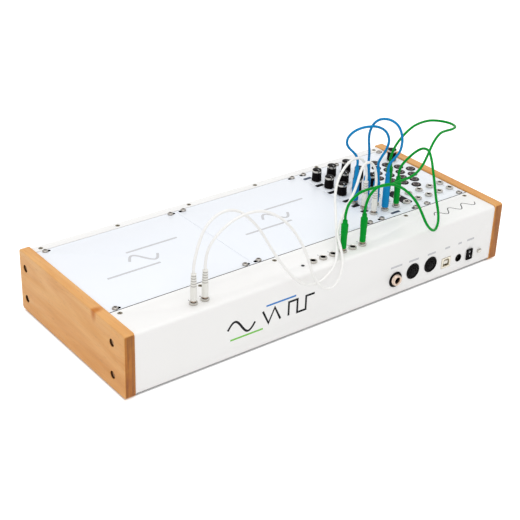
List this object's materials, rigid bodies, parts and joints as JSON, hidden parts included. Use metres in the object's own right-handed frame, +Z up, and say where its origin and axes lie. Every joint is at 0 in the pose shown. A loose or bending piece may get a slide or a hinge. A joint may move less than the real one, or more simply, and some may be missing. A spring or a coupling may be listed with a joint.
{
  "type": "modular synthesizer",
  "caption": "Low folded-steel synthesizer case between wooden cheeks, with a row of module panels, knobs, touch pads, patch jacks, rear sockets and patch cords plugged in.",
  "frame": {"origin": "middle of the bounding box on the surface the feet stand on, cords and their plugs left out", "axes": "+X towards the player's right, +Y towards the rear face with the sockets, +Z up"},
  "size_m": [0.4484, 0.1961, 0.1571],
  "materials": {
    "case_paint": "fine white powder coat",
    "panel_paint": "smooth slightly bluish white",
    "wood": "oiled light hardwood, satin",
    "bare_steel": "nickel plated",
    "rail_aluminium": "clear anodised",
    "circuit": "soldered boards with metal jacks and bushes",
    "knob_black": "satin black",
    "socket_black": "moulded black",
    "usb_shell": "plated shell in a pale light",
    "foot_rubber": "matt black",
    "cord_green": "soft gloss",
    "cord_blue": "soft gloss",
    "cord_white": "soft gloss"
  },
  "bodies": {
    "case": {"case_shell": "case_paint", "left_cheek": "wood", "right_cheek": "wood", "front_left_bracket": "bare_steel", "rear_left_bracket": "bare_steel", "front_right_bracket": "bare_steel", "rear_right_bracket": "bare_steel", "front_rail": "rail_aluminium", "rear_rail": "rail_aluminium", "rear_threaded_strip": "bare_steel", "front_threaded_strip": "bare_steel", "blank_panel_right": "panel_paint", "blank_panel_middle": "panel_paint", "voice_panel": "panel_paint", "touch_panel": "panel_paint", "voice_circuit": "circuit", "touch_circuit": "circuit", "strip_circuit": "circuit", "power_bus_board": "circuit", "rear_board": "circuit", "phone_jack": "socket_black", "midi_in_socket": "socket_black", "midi_out_socket": "socket_black", "usb_socket": "usb_shell", "dc_inlet": "socket_black", "switch_housing": "socket_black", "front_left_foot": "foot_rubber", "front_right_foot": "foot_rubber", "rear_left_foot": "foot_rubber", "rear_right_foot": "foot_rubber", "green_cord_1": "cord_green", "green_cord_2": "cord_green", "blue_cord_1": "cord_blue", "blue_cord_2": "cord_blue", "white_cord_1": "cord_white", "white_cord_2": "cord_white", "green_cord_1_plug_1": "cord_green", "green_cord_1_plug_2": "cord_green", "green_cord_2_plug_1": "cord_green", "green_cord_2_plug_2": "cord_green", "blue_cord_1_plug_1": "cord_blue", "blue_cord_1_plug_2": "cord_blue", "blue_cord_2_plug_1": "cord_blue", "blue_cord_2_plug_2": "cord_blue", "white_cord_1_plug_1": "cord_white", "white_cord_1_plug_2": "cord_white", "white_cord_2_plug_1": "cord_white", "white_cord_2_plug_2": "cord_white"},
    "knob_1": {"knob_1": "knob_black"},
    "knob_2": {"knob_2": "knob_black"},
    "knob_3": {"knob_3": "knob_black"},
    "knob_4": {"knob_4": "knob_black"},
    "knob_5": {"knob_5": "knob_black"},
    "knob_6": {"knob_6": "knob_black"},
    "knob_7": {"knob_7": "knob_black"},
    "knob_8": {"knob_8": "knob_black"},
    "knob_9": {"knob_9": "knob_black"},
    "encoder_shaft": {"encoder_shaft": "bare_steel"},
    "encoder_knob": {"encoder_knob": "knob_black"},
    "power_rocker": {"power_rocker": "socket_black"}
  },
  "joints": [
    {"name": "knob_1_turn", "type": "hinge", "parent": "case", "child": "knob_1", "pos_m": [-0.10172, -0.01815, 0.0628], "axis": [0, 0, 1], "range_deg": [-150, 150]},
    {"name": "knob_2_turn", "type": "hinge", "parent": "case", "child": "knob_2", "pos_m": [-0.12192, -0.01815, 0.0628], "axis": [0, 0, 1], "range_deg": [-150, 150]},
    {"name": "knob_3_turn", "type": "hinge", "parent": "case", "child": "knob_3", "pos_m": [-0.14212, -0.01815, 0.0628], "axis": [0, 0, 1], "range_deg": [-150, 150]},
    {"name": "knob_4_turn", "type": "hinge", "parent": "case", "child": "knob_4", "pos_m": [-0.10172, -0.03835, 0.0628], "axis": [0, 0, 1], "range_deg": [-150, 150]},
    {"name": "knob_5_turn", "type": "hinge", "parent": "case", "child": "knob_5", "pos_m": [-0.12192, -0.03835, 0.0628], "axis": [0, 0, 1], "range_deg": [-150, 150]},
    {"name": "knob_6_turn", "type": "hinge", "parent": "case", "child": "knob_6", "pos_m": [-0.14212, -0.03835, 0.0628], "axis": [0, 0, 1], "range_deg": [-150, 150]},
    {"name": "knob_7_turn", "type": "hinge", "parent": "case", "child": "knob_7", "pos_m": [-0.10172, -0.05855, 0.0628], "axis": [0, 0, 1], "range_deg": [-150, 150]},
    {"name": "knob_8_turn", "type": "hinge", "parent": "case", "child": "knob_8", "pos_m": [-0.12192, -0.05855, 0.0628], "axis": [0, 0, 1], "range_deg": [-150, 150]},
    {"name": "knob_9_turn", "type": "hinge", "parent": "case", "child": "knob_9", "pos_m": [-0.14212, -0.05855, 0.0628], "axis": [0, 0, 1], "range_deg": [-150, 150]},
    {"name": "encoder_press", "type": "slide", "parent": "case", "child": "encoder_shaft", "axis": [0, 0, 1], "range_m": [-0.0005, 0], "stiffness_N_per_m": 800, "springref_m": 0.001},
    {"name": "encoder_turn", "type": "hinge", "parent": "encoder_shaft", "child": "encoder_knob", "pos_m": [-0.20336, -0.05365, 0.0628], "axis": [0, 0, 1], "continuous": true},
    {"name": "power_switch", "type": "hinge", "parent": "case", "child": "power_rocker", "pos_m": [-0.183, 0.0873, 0.0178], "axis": [1, 0, 0], "range_deg": [-16, 0]}
  ]
}
